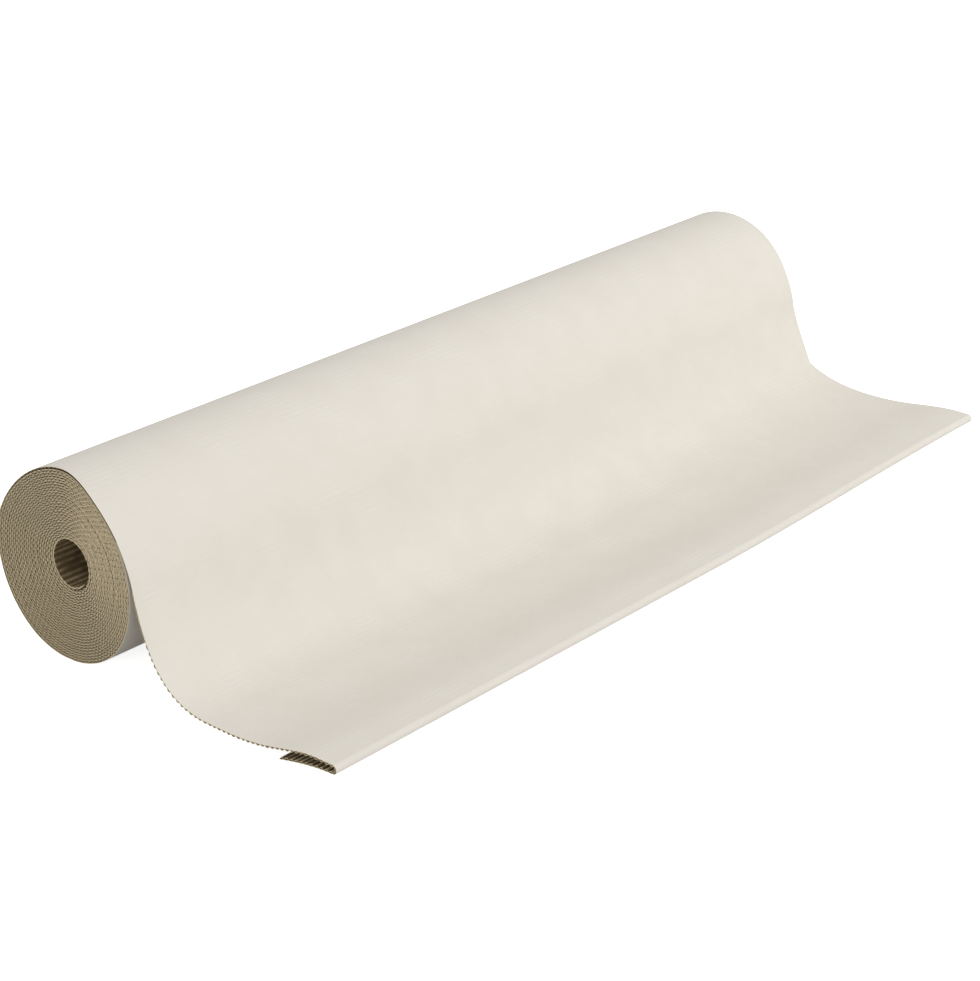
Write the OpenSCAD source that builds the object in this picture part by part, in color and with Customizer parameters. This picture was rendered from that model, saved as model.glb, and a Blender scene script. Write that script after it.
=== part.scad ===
// Roll of single-faced corrugated board, lying with its free end drawn out.
// The roll's axis runs along X. The free end lies toward -Y, and Z is up.
// The origin is on the floor, in the middle of the whole footprint.

/* [Roll] */
// Width of the web, along the roll's axis
web_w = 1000; // [500:50:1400]
// Height that the wound roll would have if every turn were as wide as the outer one
roll_d = 188; // [164:1:218]
// Width of the roll as a share of its height, as a soft roll is a little oval
oval = 0.975; // [0.95:0.005:1]
// Diameter of the open core
core_d = 50; // [34:1:66]
// How far the core sits forward of the roll's axis
core_forward = 7.9; // [0:0.1:9.5]
// How far the core sits above the roll's axis
core_up = 5.4; // [0:0.1:7]

/* [Board] */
// Thickness of the board over its flutes
board_t = 2.6; // [2.3:0.1:3]
// Solid part of that thickness behind the grooves
web_t = 0.7; // [0.5:0.1:1]
// Distance from one flute to the next
flute_pitch = 6; // [5.5:0.05:6.6]
// Air left between two wound turns
turn_gap = 0.26; // [0.2:0.02:0.4]

/* [Free end] */
// From the roll's front to where the board meets the floor
fall_run = 94; // [75:0.5:130]
// Stretch that lies flat on the floor
floor_run = 20; // [10:1:50]
// From there to the top of the low hump
rise_run = 112.5; // [92:0.5:150]
// Level stretch from the hump to the folded edge
top_run = 22.5; // [13:0.5:40]
// Height of the folded edge, over both layers
fold_h = 9.4; // [8.6:0.1:11]
// Height of the folded edge's underside above the floor
fold_lift = 9.6; // [5:0.1:11]
// How far the flap reaches back under the free end
flap_run = 68; // [50:0.5:85]

/* [Hidden] */

// Straight facets in one turn, a multiple of four
facets = 48;
facet_a = 360 / facets;
// Facets in the folded edge, and in each of the free end's long bends
fold_facets = 10;
bend_facets = 22;

roll_r = roll_d / 2;
core_r = core_d / 2;
// Facets wound on the roll, and the turns and spacing that they make
wound_facets = round(((roll_r - core_r) / board_t - 1) * facets);
turns = wound_facets / facets;
spacing = (roll_r - core_r - board_t) / turns;
// Angle at which the outer turn leaves the roll, about its axis from +Y
leave_a = 180 - facet_a / 2;
core_offset = [-core_forward, core_up];

// A point on turn n, that far in from the liner's face.
// The turns drift from the core's place to the roll's axis on the way out.
function wound(n, depth = 0) =
    let (a = leave_a - 360 * (turns - n), r = core_r + board_t + spacing * n - depth)
    core_offset * (1 - n / turns) + r * [oval * cos(a), sin(a)];

// The roll rests on the facet three quarters of a turn back from its leaving point
flat_n = turns - 3 / 4;
floor_z = max(wound(flat_n).y, wound(flat_n + 1 / facets).y);

// Points after the first of a smooth bend from a to d, drawn toward b and c
function bend(a, b, c, d) =
    [for (i = [1 : bend_facets])
        let (t = i / bend_facets, u = 1 - t)
        pow(u, 3) * a + 3 * u * u * t * b + 3 * u * t * t * c + pow(t, 3) * d];

// Liner's face along the free end, from the roll to the flap's edge
leave = wound(turns);
touch = [-oval * roll_r - fall_run, floor_z + board_t];
lift_off = touch - [floor_run, 0];
fold_r = fold_h / 2;
nose_y = lift_off.x - rise_run - top_run;
fold_mid = [nose_y + fold_r, floor_z + fold_lift + fold_r];
hump = [lift_off.x - rise_run, fold_mid.y + fold_r];
fold_under = fold_mid - [0, fold_r];
flap_edge = [nose_y + flap_run, floor_z];

// Directions in which each bend starts and ends, with how far it keeps them
fall_pull = -floor_z / 2 * [cos(leave_a + 90), sin(leave_a + 90)];
touch_pull = [0.55 * fall_run, 0];
lift_pull = [-rise_run / 2, 0];
hump_pull = [0.28 * rise_run, 0];
flap_pull = [0.28 * flap_run, 0];
edge_pull = flap_run / 3 * [-cos(14), sin(14)];

tail = concat(
    [leave],
    bend(leave, leave + fall_pull, touch + touch_pull, touch),
    bend(lift_off, lift_off + lift_pull, hump + hump_pull, hump),
    [for (i = [0 : fold_facets])
        let (a = 90 + 180 * i / fold_facets)
        fold_mid + fold_r * [cos(a), sin(a)]],
    bend(fold_under, fold_under + flap_pull, flap_edge + edge_pull, flap_edge));

// Distance along the liner's face at each of those points
tail_s = [for (i = 0, s = 0; i < len(tail); s = s + norm(tail[min(i + 1, len(tail) - 1)] - tail[i]), i = i + 1) s];
tail_len = tail_s[len(tail) - 1];
tail_y = [for (i = [0 : len(tail) - 1]) [tail_s[i], tail[i].x]];
tail_z = [for (i = [0 : len(tail) - 1]) [tail_s[i], tail[i].y]];

// A point of the free end at the distance s, that far in from the liner's face
function drawn(s, depth) =
    let (
        here = [lookup(s, tail_y), lookup(s, tail_z)],
        before = [lookup(s - fold_r / 4, tail_y), lookup(s - fold_r / 4, tail_z)],
        after = [lookup(s + fold_r / 4, tail_y), lookup(s + fold_r / 4, tail_z)],
        way = (after - before) / norm(after - before))
    here + depth * [-way.y, way.x];

// A flute's crest and root, as shares of its pitch either side of its middle
crest = 0.16;
root = 0.34;
// The grooves deepen over this distance from the roll, where no turn presses the board
ease_len = 25;
front_t = norm(wound(turns) - wound(turns - 1)) - turn_gap;

core_flutes = round(PI * (core_d + board_t) / flute_pitch);
tail_flutes = round(tail_len / flute_pitch);
tail_pitch = tail_len / tail_flutes;

function drawn_t(s) = min(board_t, front_t + (board_t - front_t) * s / ease_len);

liner_side = concat(
    [for (k = [0 : wound_facets - 1]) let (p = wound(k / facets)) [p.x, max(p.y, floor_z)]],
    tail);

// Flutes of the free end, back from the flap's edge to the roll
tail_fluting = [for (i = [tail_flutes - 1 : -1 : 0], side = [1, -1])
    let (middle = (i + 0.5) * tail_pitch, out = middle + side * root * tail_pitch,
        top = middle + side * crest * tail_pitch)
    each side > 0
        ? [drawn(out, web_t), drawn(top, drawn_t(top))]
        : [drawn(top, drawn_t(top)), drawn(out, web_t)]];

// Between two turns the flutes press on the turn inside, so the board ends there
pressed_side = [for (k = [wound_facets : -1 : facets]) wound(k / facets - 1, -turn_gap)];

// Flutes of the innermost turn, open to the core
core_fluting = [for (i = [core_flutes - 1 : -1 : 0], side = [1, -1])
    let (middle = (i + 0.5) / core_flutes, out = middle + side * root / core_flutes,
        top = middle + side * crest / core_flutes)
    each side > 0
        ? [wound(out, web_t), wound(top, board_t)]
        : [wound(top, board_t), wound(out, web_t)]];

edge = drawn(tail_len, web_t);
start = wound(0, web_t);
outline = concat(liner_side, [edge], tail_fluting, pressed_side, core_fluting, [start]);

// Middle of the footprint between the roll's back and the folded edge
ys = [for (p = outline) p.x];
middle_y = (max(ys) + min(ys)) / 2;

module corrugated_board() {
    color([0.86, 0.84, 0.79])
        rotate([90, 0, 90])
            translate([-middle_y, -floor_z, -web_w / 2])
                linear_extrude(web_w)
                    polygon(outline);
}

corrugated_board();
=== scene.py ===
# %% [markdown]
# # A roll of corrugated board with its free end drawn out
# The object is one long web of single-faced board: a pale flat liner with a
# brown fluted paper glued to its inner side. It is wound up some 27 times, and
# its free end falls to the floor and is folded under. This lesson builds
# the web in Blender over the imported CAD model, which says where it lies and
# how large it is. Every length is in metres.

import math

import bpy
import numpy as np
from mathutils import Matrix, Vector


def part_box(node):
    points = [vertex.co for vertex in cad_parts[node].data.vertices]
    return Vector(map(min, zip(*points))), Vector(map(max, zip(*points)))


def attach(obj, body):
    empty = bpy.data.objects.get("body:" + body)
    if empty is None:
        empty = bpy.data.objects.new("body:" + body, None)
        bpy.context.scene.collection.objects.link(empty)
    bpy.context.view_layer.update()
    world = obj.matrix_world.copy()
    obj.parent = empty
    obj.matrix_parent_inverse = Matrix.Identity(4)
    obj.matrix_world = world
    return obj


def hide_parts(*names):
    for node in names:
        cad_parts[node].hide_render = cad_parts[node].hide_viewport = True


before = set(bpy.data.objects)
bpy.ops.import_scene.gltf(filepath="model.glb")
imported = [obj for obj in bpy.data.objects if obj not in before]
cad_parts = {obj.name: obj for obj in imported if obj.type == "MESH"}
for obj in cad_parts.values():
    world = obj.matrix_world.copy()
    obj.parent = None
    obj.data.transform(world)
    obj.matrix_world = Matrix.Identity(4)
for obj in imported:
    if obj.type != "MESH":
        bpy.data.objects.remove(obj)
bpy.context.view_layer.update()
low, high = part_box("corrugated_board")
print("CAD box", [round(v, 4) for v in low], [round(v, 4) for v in high])

# %% [markdown]
# ## The board's measures
# A web is easiest to think of as a path that has a length and a thickness,
# swept across its width. The numbers below are the board's own: how thick it
# is over the flutes, how far apart the flutes are, and how thick each paper
# is. The papers are drawn at four tenths of a millimetre, a little over their
# real gauge, because their cut edges have to show as lines on the end face.

# %% The board
board_t = 0.0026
paper_t = 0.0004
flute_pitch = 0.006
turn_gap = 0.00006
web_w = high.x - low.x
print("web is", round(web_w, 3), "m wide")

# %% [markdown]
# ## Where the turns lie
# A wound web is a spiral whose radius grows by one thickness a turn. A soft
# roll is a little higher than it is wide, and on this one the open core sits
# forward of the middle and above it, so the centre of each turn drifts from the
# core's place to the roll's axis. The same few measures fix the CAD solid, so
# the turns here lie where its turns lie. Two things are looser here. The web
# goes on a turn and a third inside the core, where its end curls off the turn
# below it. The outer turn lifts a little before the free end leaves the roll.

# %% The spiral
roll_r = 0.094
oval = 0.975
core_r = 0.025
core_offset = np.array([-0.0079, 0.0054])
facets = 48
turns = round(((roll_r - core_r) / board_t - 1) * facets) / facets
spacing = (roll_r - core_r - board_t) / turns
leave_a = math.pi - math.pi / facets
inner_n = -1.335
curl = 0.0016
lift = 0.0037


def turn_angle(n):
    """Angle about the roll's axis, from +Y, of the place n turns out from the core."""
    return leave_a - 2 * math.pi * (turns - n)


def wound(n, depth):
    """Points of turn n, depth in from the liner's face, as (y, z) about the axis."""
    n, depth = np.broadcast_arrays(np.asarray(n, float), depth)
    a = turn_angle(n)
    curled = np.clip((inner_n + 0.4 - n) / 0.4, 0, 1)
    lifted = np.clip((n - turns + 0.07) / 0.07, 0, 1)
    r = core_r + board_t + spacing * n - depth - curl * curled**2 + lift * lifted**1.5
    middle = core_offset * (1 - n / turns)[..., None]
    return middle + r[..., None] * np.stack([oval * np.cos(a), np.sin(a)], -1)


rest_n = np.array([turns - 0.75, turns - 0.75 + 1 / facets])
axis_z = -wound(rest_n, 0)[:, 1].max()
print("turns", turns, "spacing", round(spacing * 1000, 3), "mm, axis at", round(axis_z, 4))

# %% [markdown]
# ## How the free end falls
# A stiff springy sheet hangs in long smooth bends. Each bend here is a cubic
# curve between two points with a pull at either end, which is what a draughting
# spline does. The near end lies on the floor. The far end has been handled: it
# has a soft crease where it meets the roll's fall, and stays a little off the
# floor. So there are two outlines, and the sheet passes from one to the other
# across its width.

# %% Bends and the two outlines
fall_run, floor_run, rise_run, top_run = 0.094, 0.020, 0.1125, 0.0225
fold_h, fold_lift, flap_run = 0.0094, 0.0096, 0.068
fold_r = fold_h / 2
nose_y = -oval * roll_r - fall_run - floor_run - rise_run - top_run
axis_y = low.y - nose_y


def bend(a, b, c, d, steps=160):
    """A smooth bend from a to d, drawn toward b and c."""
    t = np.linspace(0, 1, steps)[:, None]
    a, b, c, d = (np.array(p, float) for p in (a, b, c, d))
    return (1 - t) ** 3 * a + 3 * (1 - t) ** 2 * t * b + 3 * (1 - t) * t * t * c + t**3 * d


def fold(middle):
    """The rounded front edge, from the top layer round to the flap."""
    a = np.linspace(math.pi / 2, 3 * math.pi / 2, 60)[:, None]
    return np.array(middle) + fold_r * np.hstack([np.cos(a), np.sin(a)])


def about_floor(y, z):
    """A point y from the roll's axis and z above the floor."""
    return np.array([y, z - axis_z])


leave = wound(turns, 0)
leave_way = wound(turns, 0) - wound(turns - 0.01, 0)
leave_way /= np.linalg.norm(leave_way)


# %% The near outline
def near_outline():
    """The near edge's parts: the fall, the rise to the hump, the fold and the flap."""
    touch = about_floor(-oval * roll_r - fall_run, board_t)
    lift_off = touch - [floor_run, 0]
    middle = about_floor(nose_y + fold_r, fold_lift + fold_r)
    hump = middle + [top_run - fold_r, fold_r]
    under = middle - [0, fold_r]
    edge = about_floor(nose_y + flap_run, 0)
    slope = flap_run / 3 * np.array([-math.cos(0.244), math.sin(0.244)])
    fall = bend(leave, leave + 0.078 * leave_way, touch + [0.45 * fall_run, 0], touch)
    rise = bend(lift_off, lift_off - [rise_run / 2, 0], hump + [0.28 * rise_run, 0], hump)
    flap = bend(under, under + [0.28 * flap_run, 0], edge + slope, edge)
    return [fall, rise, fold(middle), flap]


# %% The far outline
def far_outline():
    """The far edge's parts, with the crease between the fall and the rise."""
    crease = about_floor(-0.1226, 0.0325)
    valley = about_floor(-0.205, 0.0155)
    middle = about_floor(nose_y + fold_r + 0.004, 0.0217)
    hump = middle + [top_run - fold_r, fold_r]
    under = middle - [0, fold_r]
    edge = about_floor(nose_y + flap_run, 0.0005)
    fall = bend(leave, leave + 0.02 * leave_way, crease + [0.009, 0.019], crease)
    spread = bend(crease, crease + [-0.022, -0.0115], valley + [0.035, 0], valley)
    rise = bend(valley, valley - [0.050, 0], hump + [0.0375, -0.0017], hump)
    flap = bend(under, under + [0.28 * flap_run, 0], edge + [-0.025, 0.0067], edge)
    return [fall, spread, rise, fold(middle), flap]


def by_length(parts, samples=3000):
    """The outline's points at even steps of its length, and that length."""
    p = np.vstack(parts)
    keep = np.r_[True, np.linalg.norm(np.diff(p, axis=0), axis=1) > 1e-7]
    p = p[keep]
    s = np.r_[0, np.cumsum(np.linalg.norm(np.diff(p, axis=0), axis=1))]
    even = np.linspace(0, s[-1], samples)
    return np.stack([np.interp(even, s, p[:, 0]), np.interp(even, s, p[:, 1])], 1), s[-1]


near_path, free_len = by_length(near_outline())
far_path, far_len = by_length(far_outline())
print("free end", round(free_len, 3), "m at the near edge,", round(far_len, 3), "at the far one")

# %% [markdown]
# ## One function for the whole web
# The free end's place at a distance s from the roll and a width position x is
# a mix of the two outlines. Its depth direction is square to the path, which
# comes from the difference between neighbouring points.

# %% The free end as a surface
def far_share(x):
    """How far the sheet has passed to the far outline at width position x."""
    t = np.clip((np.asarray(x, float) - 0.02) / (web_w / 2 - 0.02), 0, 1)
    return t * t * (3 - 2 * t)


def drawn(s, x, depth):
    """(y, z) of the free end: arrays s and depth along it, one width position x."""
    share = np.clip(np.asarray(s, float) / free_len, 0, 1) * (len(near_path) - 1)
    path = near_path + (far_path - near_path) * far_share(x)
    way = np.gradient(path, axis=0)
    way /= np.linalg.norm(way, axis=1)[:, None]
    at = np.arange(len(path))
    here = np.stack([np.interp(share, at, path[:, i]) for i in (0, 1)], 1)
    turn = np.stack([np.interp(share, at, way[:, i]) for i in (0, 1)], 1)
    square = np.stack([-turn[:, 1], turn[:, 0]], 1)
    return here + np.asarray(depth)[:, None] * square


# %% [markdown]
# ## Ribbons
# Both papers are ribbons: a face, a back, and cut edges all round. One helper
# makes such a ribbon from a grid of face points and a grid of back points, and
# lays a UV map on it in metres, along and across the web, so that a material
# can follow the paper wherever it bends. The cut edges have points of their
# own, so that the smooth shading of the two sides stops there. The face takes
# the first material, and the back and the cut edges take the second, because
# the liner is pale on its face only.

# %% The ribbon helper
def ribbon(name, face, back, along, across):
    """A closed strip of paper from grids of points shaped (across, along, 3)."""
    rows, cols = face.shape[:2]
    points = np.concatenate([face.reshape(-1, 3), back.reshape(-1, 3)])
    points = np.tile(points + np.array([0, axis_y, axis_z]), (2, 1))
    index = np.arange(rows * cols).reshape(rows, cols)
    other = index + rows * cols

    def quads(a, b, c, d):
        return np.stack([a.ravel(), b.ravel(), c.ravel(), d.ravel()], 1)

    walls = np.concatenate([
        quads(index[:-1, :-1], index[1:, :-1], index[1:, 1:], index[:-1, 1:]),
        quads(other[:-1, :-1], other[:-1, 1:], other[1:, 1:], other[1:, :-1])])
    cuts = np.concatenate([
        quads(index[0, :-1], index[0, 1:], other[0, 1:], other[0, :-1]),
        quads(index[-1, :-1], other[-1, :-1], other[-1, 1:], index[-1, 1:]),
        quads(index[:-1, 0], other[:-1, 0], other[1:, 0], index[1:, 0]),
        quads(index[:-1, -1], index[1:, -1], other[1:, -1], other[:-1, -1])])
    faces = np.concatenate([walls, cuts + 2 * rows * cols])
    used, faces = np.unique(faces, return_inverse=True)
    points, faces = points[used], faces.reshape(-1, 4)
    mesh = bpy.data.meshes.new(name)
    mesh.vertices.add(len(points))
    mesh.vertices.foreach_set("co", points.astype(np.float32).ravel())
    mesh.loops.add(faces.size)
    mesh.loops.foreach_set("vertex_index", faces.astype(np.int32).ravel())
    mesh.polygons.add(len(faces))
    mesh.polygons.foreach_set("loop_start", np.arange(0, faces.size, 4, dtype=np.int32))
    mesh.polygons.foreach_set("use_smooth", np.arange(len(faces)) < len(walls))
    off_face = np.arange(len(faces)) >= len(walls) // 2
    mesh.polygons.foreach_set("material_index", off_face.astype(np.int32))
    mesh.update(calc_edges=True)
    mesh.validate()
    flat = np.stack(np.broadcast_arrays(along[None, :], across[:, None]), -1).reshape(-1, 2)
    web = np.tile(flat, (4, 1))[used][faces.ravel()]
    uv = mesh.uv_layers.new(name="web")
    uv.data.foreach_set("uv", web.astype(np.float32).ravel())
    piece = bpy.data.objects.new(name, mesh)
    bpy.context.scene.collection.objects.link(piece)
    print(name, len(points), "points,", 2 * len(faces), "triangles")
    return piece


# %% [markdown]
# ## Length along the wound web
# The papers' grain follows the length of the web, so the spiral needs it. For a
# spiral that grows evenly this is the turn's length times the turns, plus a
# square for the growth. The room for the flutes isn't the same all round: the
# turns lie closer at the front and the top, where the core is nearer.

# %% Length and room at each turn
start_r = core_r + board_t


def length_at(n):
    """Length of web between the core and turn n."""
    return 2 * math.pi * start_r * n + math.pi * spacing * n * n


def room_at(n):
    """Room between the liner's face on turn n and the turn inside it."""
    a = turn_angle(np.asarray(n, float))
    y, z = oval * np.cos(a), np.sin(a)
    drift = (core_offset[0] * y + core_offset[1] * z) / (y * y + z * z) / turns
    return np.where(n < inner_n + 1, board_t, spacing - drift)


wound_len = length_at(turns) - length_at(inner_n)
print("wound web is", round(wound_len, 2), "m long")

# %% [markdown]
# ## Uneven ends
# No hand-wound roll has flat ends. On this one the inner turns sit a few
# millimetres further in than the outer ones, and at the top the outer turns
# have slipped in by a centimetre. Each turn also wanders a little. All of it is
# a shift along the axis that depends on the place in the winding, and all but
# the wander fades toward the far end, where the roll is more even.

# %% How each turn is shifted along the axis
dish = 0.0036
slip = 0.0105
slip_at = 0.256


def slip_share(u):
    """Share of the slip at u turns back from where the free end leaves."""
    u = np.asarray(u, float) % 1
    front = np.clip((slip_at - u) / 0.18, 0, 1)
    back = np.clip((u - slip_at) / 0.19, 0, 1)
    return (0.5 + 0.5 * np.cos(math.pi * front)) ** 2 * (0.5 + 0.5 * np.cos(math.pi * back)) ** 0.7


def shift_at(n, x):
    """Shift along the axis of the place n turns out and x across."""
    n = np.asarray(n, float)
    out = 1 - np.clip(n / turns, 0, 1)
    low_bump = 0.003 * np.clip(1 - np.abs((turns - n) % 1 - 0.8) / 0.14, 0, 1)
    wander = np.sin(1.7 * n) + 0.7 * np.sin(4.1 * n + 1) + 0.5 * np.sin(9.3 * n + 2)
    near = dish * out**1.2 + slip * slip_share(turns - n) * (1 - out) + low_bump * (1 - out) ** 4
    return near * (0.5 - x / web_w) + 0.00013 * wander * np.clip(out * 8, 0, 1)


print("slip at the top", round(slip * 1000, 1), "mm, dish", round(dish * 1000, 1), "mm")

# %% [markdown]
# ## The liner on the inner turns
# The inner turns are hidden but for their cut ends, so two width positions are
# enough. The outermost turn and the free end are seen all over, and get a
# piece of their own with many positions across.

# %% Liner of the inner turns
def put(x, yz):
    """Points (x, y, z) from width positions and (y, z) points."""
    return np.concatenate([np.broadcast_to(x, yz.shape[:1])[:, None], yz], 1)


seam_n = turns - 1.08
liner_n = np.linspace(inner_n, seam_n, round((seam_n - inner_n) * 110))
ends = np.array([-web_w / 2, web_w / 2])
face = np.stack([put(x + shift_at(liner_n, x), wound(liner_n, 0)) for x in ends])
back = np.stack([put(x + shift_at(liner_n, x), wound(liner_n, paper_t)) for x in ends])
liner_wound = ribbon("liner_wound", face, back, length_at(liner_n), ends)

# %% [markdown]
# ## The liner on the outer turn and the free end
# This is the surface that fills most of the picture. It runs once round the
# roll, clamped to the floor on the small flat spot that a soft roll lies on,
# and then along the free end.

# %% Liner of the outer turn and free end
outer_n = np.linspace(seam_n, turns, 220)
free_s = np.linspace(0, free_len, 420)[1:]
across = np.linspace(-web_w / 2, web_w / 2, 49)


def on_floor(yz, above):
    """The points, none of them lower than this height above the floor."""
    return np.stack([yz[:, 0], np.maximum(yz[:, 1], above - axis_z)], 1)


def outer_row(x, depth):
    """One row of points along the outer turn and the free end."""
    roll = on_floor(wound(outer_n, depth), depth)
    free = drawn(free_s, x, np.full(len(free_s), depth))
    across_at = np.r_[x + shift_at(outer_n, x), np.full(len(free_s), x)]
    return put(across_at, np.concatenate([roll, free]))


face = np.stack([outer_row(x, 0.0) for x in across])
back = np.stack([outer_row(x, paper_t) for x in across])
along = np.concatenate([length_at(outer_n), length_at(turns) + free_s])
liner_outer = ribbon("liner_outer", face, back, along, across)

# %% [markdown]
# ## The fluting
# The fluted paper is one wave from end to end. Its outer crests are glued to
# the liner and its inner crests press on the turn inside. Eight points draw
# each flute. Each turn holds three flutes more than the one inside it, so at
# the front the flutes of all turns stand in rows, as they do on the real roll.
# No two flutes are quite alike, so each one's place and height vary by a few
# hundredths, from a seeded random table. Around the core they have been pressed
# down by handling, some of them nearly flat. The UV map's length counts one
# flute pitch for each flute, so that the finish can tell a crest from a root.

# %% The wave
flute_points = 8
first_flutes = 27.972
more_flutes = 3
rng = np.random.default_rng(11)


def flutes_at(n):
    """Number of flutes between the core and turn n."""
    return first_flutes * n + more_flutes / 2 * n * n


def turn_at(flutes):
    """The turn at which that many flutes are reached."""
    square = first_flutes**2 + 2 * more_flutes * np.asarray(flutes)
    return (np.sqrt(square) - first_flutes) / more_flutes


def uneven(count):
    """Phase, wave and height of that many flutes, each a little off the last."""
    phase = np.arange(count * flute_points + 1) / flute_points
    whole = np.arange(count + 1)
    off = np.r_[0, rng.normal(0, 0.08, count - 1), 0]
    height = 1 - np.interp(phase, whole + 0.5, rng.uniform(0, 0.16, count + 1))
    return phase + np.interp(phase, whole, off), -np.cos(2 * math.pi * phase), height


def wave_depth(value, height, room):
    """Depth of the paper's middle where the board has this much room."""
    top = paper_t * 1.4
    bottom = room - turn_gap - paper_t / 2
    return top + (bottom - top) * (0.5 + 0.5 * value) * height


# %% Fluting of the wound turns
inner_flutes = math.ceil(flutes_at(inner_n))
phase, value, height = uneven(math.floor(flutes_at(turns)) - inner_flutes)
n = np.clip(turn_at(inner_flutes + phase), inner_n, turns)
whole = np.arange(math.ceil(phase[-1]) + 2)
pressed = np.interp(phase, whole, rng.uniform(0.25, 0.8, len(whole)))
near_core = np.clip((inner_n + 1.05 - n) * 6, 0, 1)
height = height * (1 - near_core * pressed)
middle = wave_depth(value, height, room_at(n))
fray_depth = 0.00022
outer_recess = 0.0022
fray = rng.normal(0, fray_depth, (2, len(n)))
recess = outer_recess * np.clip((n - turns + 0.42) * 10, 0, 1) * np.array([[1], [-1]])
face = np.stack([
    put(x + shift_at(n, x) + f, on_floor(wound(n, middle - paper_t / 2), 0.0006))
    for x, f in zip(ends, fray + recess)])
back = np.stack([
    put(x + shift_at(n, x) + f, on_floor(wound(n, middle + paper_t / 2), 0.001))
    for x, f in zip(ends, fray + recess)])
fluting_wound = ribbon("fluting_wound", face, back, phase * flute_pitch, ends)

# %% [markdown]
# ## The fluting of the free end
# Under the free end the flutes are open and can be seen from the side and
# below. The wave follows the sheet, so it has width positions of its own. The
# flutes stand a little lower close to the roll, where there is less room.

# %% Fluting of the free end
free_flutes = round(free_len / flute_pitch)
phase, value, height = uneven(free_flutes)
s = np.clip(phase / free_flutes, 0, 1) * free_len
front_room = room_at(turns)
ease_len = 0.025
room = front_room + (board_t - front_room) * np.clip(s / ease_len, 0, 1)
middle = wave_depth(value, height, room + turn_gap)
free_across = np.linspace(-web_w / 2, web_w / 2, 25)
face = np.stack([put(x, drawn(s, x, middle - paper_t / 2)) for x in free_across])
back = np.stack([put(x, drawn(s, x, middle + paper_t / 2)) for x in free_across])
fluting_free = ribbon("fluting_free", face, back, phase * flute_pitch, free_across)
print(free_flutes, "flutes on the free end")

# %% [markdown]
# ## Shared paper grain
# Both papers show the same things up close: soft clouds where the pulp lies
# thicker, and fine fibres that run along the web. One node group makes both
# from the UV map in metres and gives each material a mask and a height.

# %% The paper grain group
def new_group(name, inputs, outputs):
    """An empty node group with named sockets, its input node and its output node."""
    group = bpy.data.node_groups.new(name, "ShaderNodeTree")
    for label, default in inputs:
        socket = group.interface.new_socket(label, in_out="INPUT", socket_type="NodeSocketFloat")
        socket.default_value = default
    for label, kind in outputs:
        group.interface.new_socket(label, in_out="OUTPUT", socket_type=kind)
    return group, group.nodes.new("NodeGroupInput"), group.nodes.new("NodeGroupOutput")


def maths(tree, kind, a, b=None):
    """A Math node fed with sockets or numbers, and its result."""
    node = tree.nodes.new("ShaderNodeMath")
    node.operation = kind
    for socket, given in zip(node.inputs, (a, b)):
        if given is None:
            continue
        if isinstance(given, (int, float)):
            socket.default_value = given
        else:
            tree.links.new(given, socket)
    return node.outputs[0]


def noise(tree, vector, scale, detail):
    """A soft noise over the given coordinates."""
    node = tree.nodes.new("ShaderNodeTexNoise")
    node.inputs["Scale"].default_value = scale
    node.inputs["Detail"].default_value = detail
    node.inputs["Roughness"].default_value = 0.55
    tree.links.new(vector, node.inputs["Vector"])
    return node.outputs["Fac"]


def stretched(tree, vector, x, y):
    """The coordinates scaled along and across the web."""
    node = tree.nodes.new("ShaderNodeMapping")
    node.inputs["Scale"].default_value = (x, y, 1)
    tree.links.new(vector, node.inputs["Vector"])
    return node.outputs["Vector"]


grain, given, made = new_group(
    "paper_grain",
    [("Cloud scale", 40.0), ("Fibre scale", 900.0)],
    [("Clouds", "NodeSocketFloat"), ("Fibres", "NodeSocketFloat")])
uv = grain.nodes.new("ShaderNodeUVMap")
uv.uv_map = "web"
clouds = noise(grain, uv.outputs["UV"], 40.0, 4.0)
grain.links.new(given.outputs["Cloud scale"], clouds.node.inputs["Scale"])
fibres = noise(grain, stretched(grain, uv.outputs["UV"], 0.25, 1.0), 900.0, 2.0)
grain.links.new(given.outputs["Fibre scale"], fibres.node.inputs["Scale"])
grain.links.new(clouds, made.inputs["Clouds"])
grain.links.new(fibres, made.inputs["Fibres"])
print("paper_grain gives", [socket.name for socket in grain.interface.items_tree])

# %% [markdown]
# ## The liner's finish
# The liner is bleached on the outside: a warm near-white, quite matt. The
# flutes show through it as a washboard too fine to model, so a sine of the
# length along the web goes into the bump with the fibres. The washboard comes
# and goes with the clouds, as the glue holds the paper tighter in some places.

# %% Liner material
def principled(name, roughness):
    """A matt material, its node tree and its shader."""
    material = bpy.data.materials.new(name)
    material.use_nodes = True
    shader = material.node_tree.nodes["Principled BSDF"]
    shader.inputs["Roughness"].default_value = roughness
    shader.inputs["Specular IOR Level"].default_value = 0.25
    return material, material.node_tree, shader


def grain_in(tree, cloud_scale, fibre_scale):
    """The grain group in a material: its clouds and its fibres."""
    node = tree.nodes.new("ShaderNodeGroup")
    node.node_tree = grain
    node.inputs["Cloud scale"].default_value = cloud_scale
    node.inputs["Fibre scale"].default_value = fibre_scale
    return node.outputs["Clouds"], node.outputs["Fibres"]


def ramp(tree, factor, stops):
    """A colour that follows the factor through the stops."""
    node = tree.nodes.new("ShaderNodeValToRGB")
    tree.links.new(factor, node.inputs["Fac"])
    node.color_ramp.elements[0].position, node.color_ramp.elements[0].color = stops[0]
    node.color_ramp.elements[1].position, node.color_ramp.elements[1].color = stops[-1]
    for place, colour in stops[1:-1]:
        node.color_ramp.elements.new(place).color = colour
    return node.outputs["Color"]


def srgb(r, g, b):
    """A colour written as the 0 to 255 numbers of a picture, made linear."""
    def linear(v):
        v = v / 255
        return v / 12.92 if v <= 0.04045 else ((v + 0.055) / 1.055) ** 2.4

    return (linear(r), linear(g), linear(b), 1.0)


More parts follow.
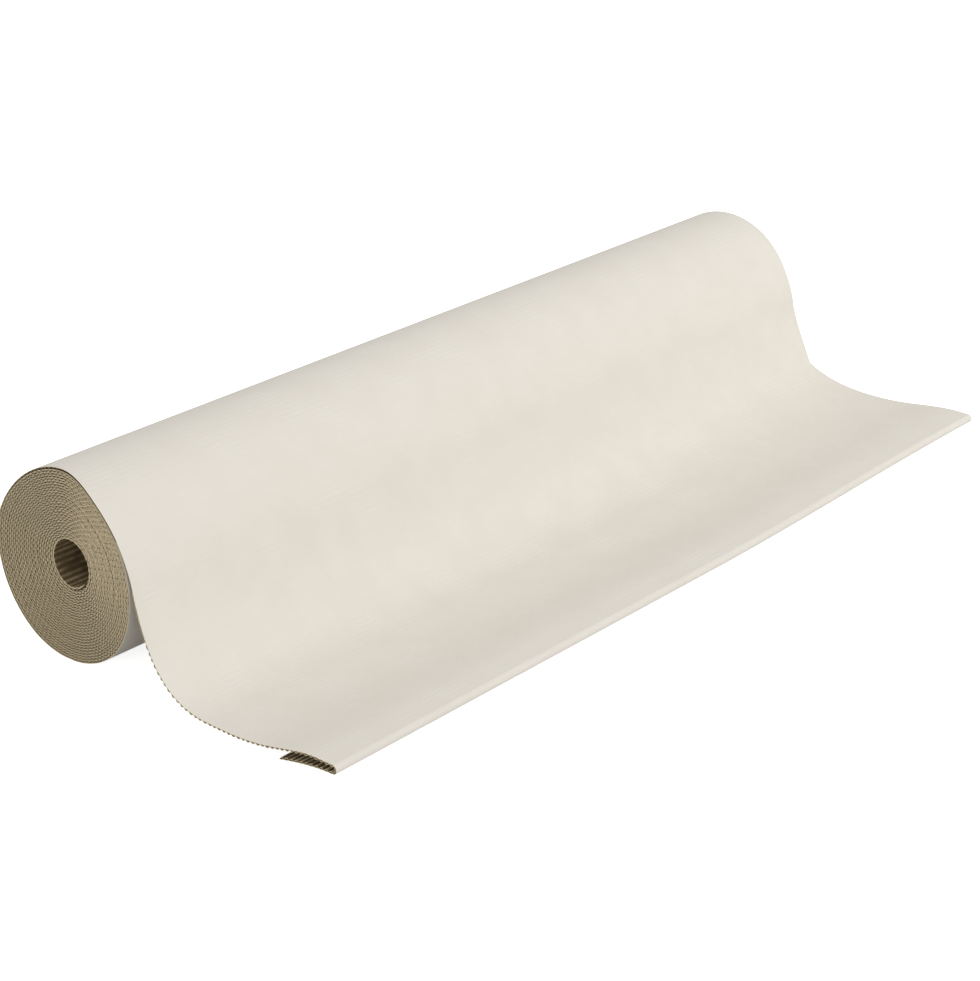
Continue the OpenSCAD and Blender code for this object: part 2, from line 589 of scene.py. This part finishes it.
def bump(tree, height, distance, shader):
    """A fine relief on the shader's normal, from a height."""
    node = tree.nodes.new("ShaderNodeBump")
    node.inputs["Distance"].default_value = distance
    tree.links.new(height, node.inputs["Height"])
    tree.links.new(node.outputs["Normal"], shader.inputs["Normal"])


liner_paper, tree, shader = principled("liner_paper", 0.72)
clouds, fibres = grain_in(tree, 22.0, 1100.0)
tone = maths(tree, "MULTIPLY_ADD", fibres, 0.35)
tree.links.new(clouds, tone.node.inputs[2])
tree.links.new(
    ramp(tree, tone, [(0.35, srgb(226, 220, 209)), (0.95, srgb(231, 226, 216))]),
    shader.inputs["Base Color"])
web = tree.nodes.new("ShaderNodeUVMap")
web.uv_map = "web"
split = tree.nodes.new("ShaderNodeSeparateXYZ")
tree.links.new(web.outputs["UV"], split.inputs[0])
rib = maths(tree, "SINE", maths(tree, "MULTIPLY", split.outputs["X"], 2 * math.pi / flute_pitch))
tight = maths(tree, "POWER", clouds, 2.0)
height = maths(tree, "MULTIPLY_ADD", maths(tree, "MULTIPLY", rib, tight), 3.0)
tree.links.new(fibres, height.node.inputs[2])
relief = 0.00008
bump(tree, height, relief, shader)
print("liner_paper, with a relief of", relief * 1000, "mm")

# %% [markdown]
# ## The kraft finish
# The fluting, and the liner's back, are unbleached kraft: a brown paper with
# darker fibres. Where the knife has cut the web, the fibres stand open and look
# paler, so a mask from the UV map's width finds the last third of a millimetre
# at each edge. A second mask, a cosine of the UV map's length, runs from root
# to crest, and with it the material paints highlight on the fluting's crests
# and shade in its roots. One group makes both masks. The painted highlight is
# uneven, so the material multiplies the crest mask by the paper's clouds.

# %% The board edge group
board_edge, given, made = new_group(
    "board_edge",
    [("Half width", 0.5), ("Flute pitch", 0.006)],
    [("Cut", "NodeSocketFloat"), ("Crest", "NodeSocketFloat")])
web = board_edge.nodes.new("ShaderNodeUVMap")
web.uv_map = "web"
split = board_edge.nodes.new("ShaderNodeSeparateXYZ")
board_edge.links.new(web.outputs["UV"], split.inputs[0])
cut_width = 0.0003
cut_from = maths(board_edge, "SUBTRACT", given.outputs["Half width"], cut_width)
cut = maths(board_edge, "GREATER_THAN", maths(board_edge, "ABSOLUTE", split.outputs["Y"]), cut_from)
turned = maths(board_edge, "DIVIDE", split.outputs["X"], given.outputs["Flute pitch"])
swing = maths(board_edge, "COSINE", maths(board_edge, "MULTIPLY", turned, 2 * math.pi))
crest = maths(board_edge, "MULTIPLY_ADD", swing, -0.5)
crest.node.inputs[2].default_value = 0.5
board_edge.links.new(cut, made.inputs["Cut"])
board_edge.links.new(crest, made.inputs["Crest"])
print("board_edge gives", [socket.name for socket in board_edge.interface.items_tree])


# %% Kraft materials
def kraft(name, cut_colour, tones, crest_light_root_shade):
    """Paper of three tones, a paler cut edge, and painted crest highlight and root shade of that
    strength.
    """
    material, tree, shader = principled(name, 0.85)
    clouds, fibres = grain_in(tree, 60.0, 700.0)
    edge = tree.nodes.new("ShaderNodeGroup")
    edge.node_tree = board_edge
    edge.inputs["Half width"].default_value = web_w / 2
    edge.inputs["Flute pitch"].default_value = flute_pitch
    tone = maths(tree, "MULTIPLY_ADD", maths(tree, "ADD", clouds, fibres), 0.3)
    # Painted highlight on the fluting's crests, uneven with the clouds; the offset below adds
    # painted shade in the roots.
    painted_crest_light = maths(tree, "MULTIPLY", edge.outputs["Crest"], maths(tree, "MULTIPLY", clouds, 2.0))
    painted_crest_shading = maths(tree, "MULTIPLY_ADD", painted_crest_light, crest_light_root_shade)
    painted_crest_shading.node.inputs[2].default_value = 0.25 - 0.35 * crest_light_root_shade
    tree.links.new(painted_crest_shading, tone.node.inputs[2])
    brown = ramp(tree, tone, list(zip((0.25, 0.6, 1.0), tones)))
    mix = tree.nodes.new("ShaderNodeMix")
    mix.data_type = "RGBA"
    tree.links.new(edge.outputs["Cut"], mix.inputs[0])
    tree.links.new(brown, mix.inputs[6])
    mix.inputs[7].default_value = cut_colour
    tree.links.new(mix.outputs[2], shader.inputs["Base Color"])
    bump(tree, fibres, relief, shader)
    return material


brown_tones = (srgb(82, 67, 45), srgb(120, 102, 72), srgb(200, 184, 150))
# Painted shade: darker low tones for the fluting under the free end, for the shadow beneath the
# sheet, and strong painted crest highlight.
underside_painted_shade_tones = (srgb(70, 56, 36), srgb(106, 89, 62), srgb(200, 184, 150))
# Painted shade: dark tones for the liner's pale face inside the roll, for the shade in the gaps
# between the turns.
gap_painted_shade_tones = (srgb(70, 57, 37), srgb(86, 71, 48), srgb(110, 94, 68))
kraft_fluting = kraft("kraft_fluting", srgb(224, 207, 172), brown_tones, 0.28)
open_fluting_painted_shade = kraft("open_fluting_painted_shade", srgb(224, 208, 174), underside_painted_shade_tones, 0.7)
liner_back = kraft("liner_back", srgb(224, 208, 174), brown_tones, 0.0)
liner_inside_painted_shade = kraft("liner_inside_painted_shade", srgb(224, 207, 172), gap_painted_shade_tones, 0.0)
print("kraft for the fluting, the liner's back and the liner inside the roll")

# %% Dress the pieces
# The inner turns' liner face and the free end's fluting wear materials with painted shade.
for piece, material, off_face in [
        (liner_wound, liner_inside_painted_shade, liner_back), (liner_outer, liner_paper, liner_back),
        (fluting_wound, kraft_fluting, kraft_fluting), (fluting_free, open_fluting_painted_shade, open_fluting_painted_shade)]:
    piece.data.materials.append(material)
    piece.data.materials.append(off_face)
    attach(piece, "root")
    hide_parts("corrugated_board")
    print(piece.name, "wears", material.name, "and", off_face.name)

# %% [markdown]
# ## Floor and light
# The picture is a cut-out on white. The floor is a matt white sheet, and only
# the camera sees a little extra light on it, so that it reads as white while
# it keeps the object's soft shadow. The world is an even pale sky.

# %% Floor
floor_grey = 0.82
camera_glow = 0.85


def flat_sheet(name, size):
    """A square sheet on the ground."""
    mesh = bpy.data.meshes.new(name)
    h = size / 2
    mesh.from_pydata([(-h, -h, 0), (h, -h, 0), (h, h, 0), (-h, h, 0)], [], [(0, 1, 2, 3)])
    plane = bpy.data.objects.new(name, mesh)
    bpy.context.scene.collection.objects.link(plane)
    return plane


floor = flat_sheet("floor", 60.0)
floor_paint = bpy.data.materials.new("floor_paint")
floor_paint.use_nodes = True
tree = floor_paint.node_tree
shader = tree.nodes["Principled BSDF"]
shader.inputs["Base Color"].default_value = (floor_grey, floor_grey, floor_grey, 1)
shader.inputs["Roughness"].default_value = 0.95
shader.inputs["Specular IOR Level"].default_value = 0.0
glow = tree.nodes.new("ShaderNodeEmission")
seen = tree.nodes.new("ShaderNodeLightPath")
extra = maths(tree, "MULTIPLY", seen.outputs["Is Camera Ray"], camera_glow)
tree.links.new(extra, glow.inputs["Strength"])
both = tree.nodes.new("ShaderNodeAddShader")
tree.links.new(shader.outputs[0], both.inputs[0])
tree.links.new(glow.outputs[0], both.inputs[1])
tree.links.new(both.outputs[0], tree.nodes["Material Output"].inputs["Surface"])
floor.data.materials.append(floor_paint)
print("floor at", floor_grey, "with a camera glow of", camera_glow)

# %% World and lamps
sky_strength = 0.61
sky_for_camera = 0.39
scene = bpy.context.scene
world = bpy.data.worlds.new("pale_sky")
scene.world = world
world.use_nodes = True
tree = world.node_tree
sky = tree.nodes["Background"]
sky.inputs["Color"].default_value = (1, 1, 1, 1)
seen = tree.nodes.new("ShaderNodeLightPath")
strength = maths(tree, "MULTIPLY_ADD", seen.outputs["Is Camera Ray"], sky_for_camera)
strength.node.inputs[2].default_value = sky_strength
tree.links.new(strength, sky.inputs["Strength"])


def soft_lamp(name, place, target, size, power):
    """A square lamp of that size in metres and power in watts, aimed at the target."""
    light = bpy.data.lights.new(name, "AREA")
    light.shape = "SQUARE"
    light.size = size
    light.energy = power
    lamp = bpy.data.objects.new(name, light)
    lamp.location = place
    lamp.rotation_euler = (Vector(target) - Vector(place)).to_track_quat("-Z", "Y").to_euler()
    scene.collection.objects.link(lamp)
    print(name, power, "W")


soft_lamp("front_light", (3.2, -5.2, 2.3), (0, 0, 0.1), 2.2, 144.0)
soft_lamp("end_light", (-5.0, -0.2, 0.9), (-0.5, 0, 0.1), 1.0, 58.0)
soft_lamp("top_light", (1.1, 0.2, 3.4), (0.1, 0, 0.1), 2.0, 19.0)

# %% [markdown]
# ## Camera
# The camera was fitted to the photograph: the roll's two ends, the lines along
# its top and bottom, and the folded edge fix the place, the direction and the
# lens. The picture is 980 by 981 pixels, and the lens axis meets it a little
# off its middle, so a small shift is set.

# %% Camera
picture_w, picture_h = 980, 981
focal_px = 2597.6
axis_px = (479.0, 482.0)
azimuth, elevation, roll = (math.radians(v) for v in (-48.757, 23.83, 0.212))
view_from = Vector((-1.83222, -1.66466 + axis_y, 1.10550))
eye = bpy.data.cameras.new("eye")
eye.sensor_fit = "HORIZONTAL"
eye.sensor_width = 36.0
eye.lens = eye.sensor_width * focal_px / picture_w
eye.shift_x = (picture_w / 2 - axis_px[0]) / picture_w
eye.shift_y = (axis_px[1] - picture_h / 2) / picture_w
eye.clip_end = 100
camera = bpy.data.objects.new("eye", eye)
camera.matrix_world = (
    Matrix.Translation(view_from) @ Matrix.Rotation(azimuth, 4, "Z")
    @ Matrix.Rotation(math.pi / 2 - elevation, 4, "X") @ Matrix.Rotation(roll, 4, "Z"))
scene.collection.objects.link(camera)
scene.camera = camera
scene.view_settings.view_transform = "Standard"
print("lens", round(eye.lens, 1), "mm")
